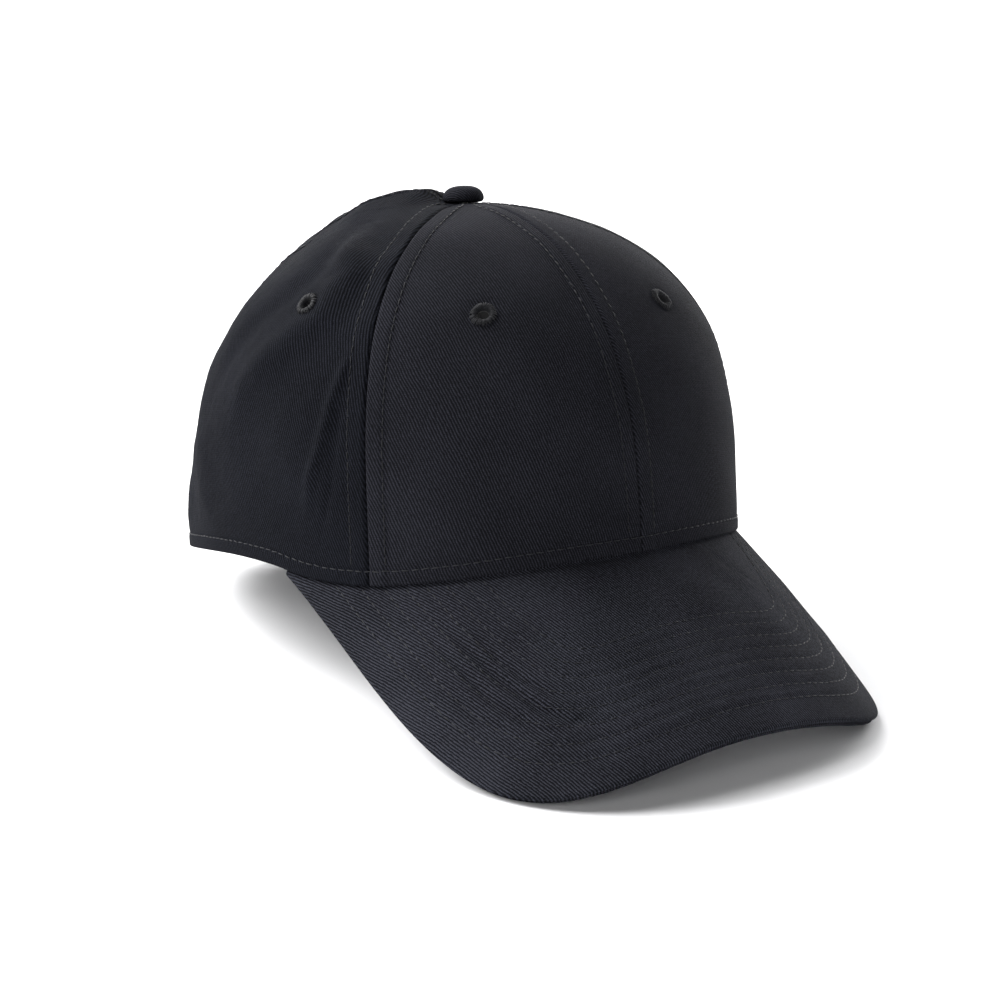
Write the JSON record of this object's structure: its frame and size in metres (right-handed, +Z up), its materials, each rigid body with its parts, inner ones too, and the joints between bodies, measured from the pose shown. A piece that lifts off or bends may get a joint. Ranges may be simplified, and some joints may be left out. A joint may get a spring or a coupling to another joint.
{
  "type": "baseball cap",
  "caption": "Panelled baseball cap with a stiffened front, a curved stitched visor, a covered top button and an adjustable back strap with a metal clasp.",
  "frame": {"origin": "on the table, below the middle of the head opening, with the cap at rest on its visor and back hem", "axes": "+Z up from the table, -Y towards the front of the visor, +X towards the wearer's left"},
  "size_m": [0.17, 0.2516, 0.1464],
  "materials": {
    "black_twill": "cotton twill, matte with a faint sheen",
    "buckram": "stiffened open-weave cotton",
    "seam_tape": "cotton binding tape",
    "sweatband_cotton": "brushed cotton",
    "foam": "soft closed-cell foam",
    "visor_plastic": "flexible polyethylene sheet",
    "embroidery_thread": "satin stitch",
    "label_satin": "woven satin, blank",
    "button_steel": "stamped tinned steel",
    "clasp_metal": "satin gunmetal plating"
  },
  "bodies": {
    "cap": {"back_panel_left": "black_twill", "back_panel_right": "black_twill", "buckle_frame": "clasp_metal", "buckle_loop": "black_twill", "buckle_pin": "clasp_metal", "button_cover": "black_twill", "button_rivet": "button_steel", "button_shell": "button_steel", "button_washer": "button_steel", "care_label": "label_satin", "eyelets": "embroidery_thread", "forehead_pad": "foam", "front_buckram_left": "buckram", "front_buckram_right": "buckram", "front_panel_left": "black_twill", "front_panel_right": "black_twill", "opening_binding": "seam_tape", "seam_tape_back": "seam_tape", "seam_tape_back_left": "seam_tape", "seam_tape_back_right": "seam_tape", "seam_tape_front": "seam_tape", "seam_tape_front_left": "seam_tape", "seam_tape_front_right": "seam_tape", "side_panel_left": "black_twill", "side_panel_right": "black_twill", "sweatband": "sweatband_cotton", "visor_board": "visor_plastic", "visor_cover_top": "black_twill", "visor_cover_under": "black_twill", "visor_seam_strip": "seam_tape"},
    "strap_band": {"strap": "black_twill"},
    "clasp_lever": {"clasp_lever": "clasp_metal"}
  },
  "joints": [
    {"name": "strap_slide", "type": "hinge", "parent": "cap", "child": "strap_band", "pos_m": [0, 0.01887, 0.01183], "axis": [0, 0.1461, 0.9893], "range_deg": [-15, 15]},
    {"name": "clasp_hinge", "type": "hinge", "parent": "cap", "child": "clasp_lever", "pos_m": [-0.01604, 0.09706, 0.0157], "axis": [-0.0198, -0.0517, -0.9985], "range_deg": [0, 100]}
  ]
}
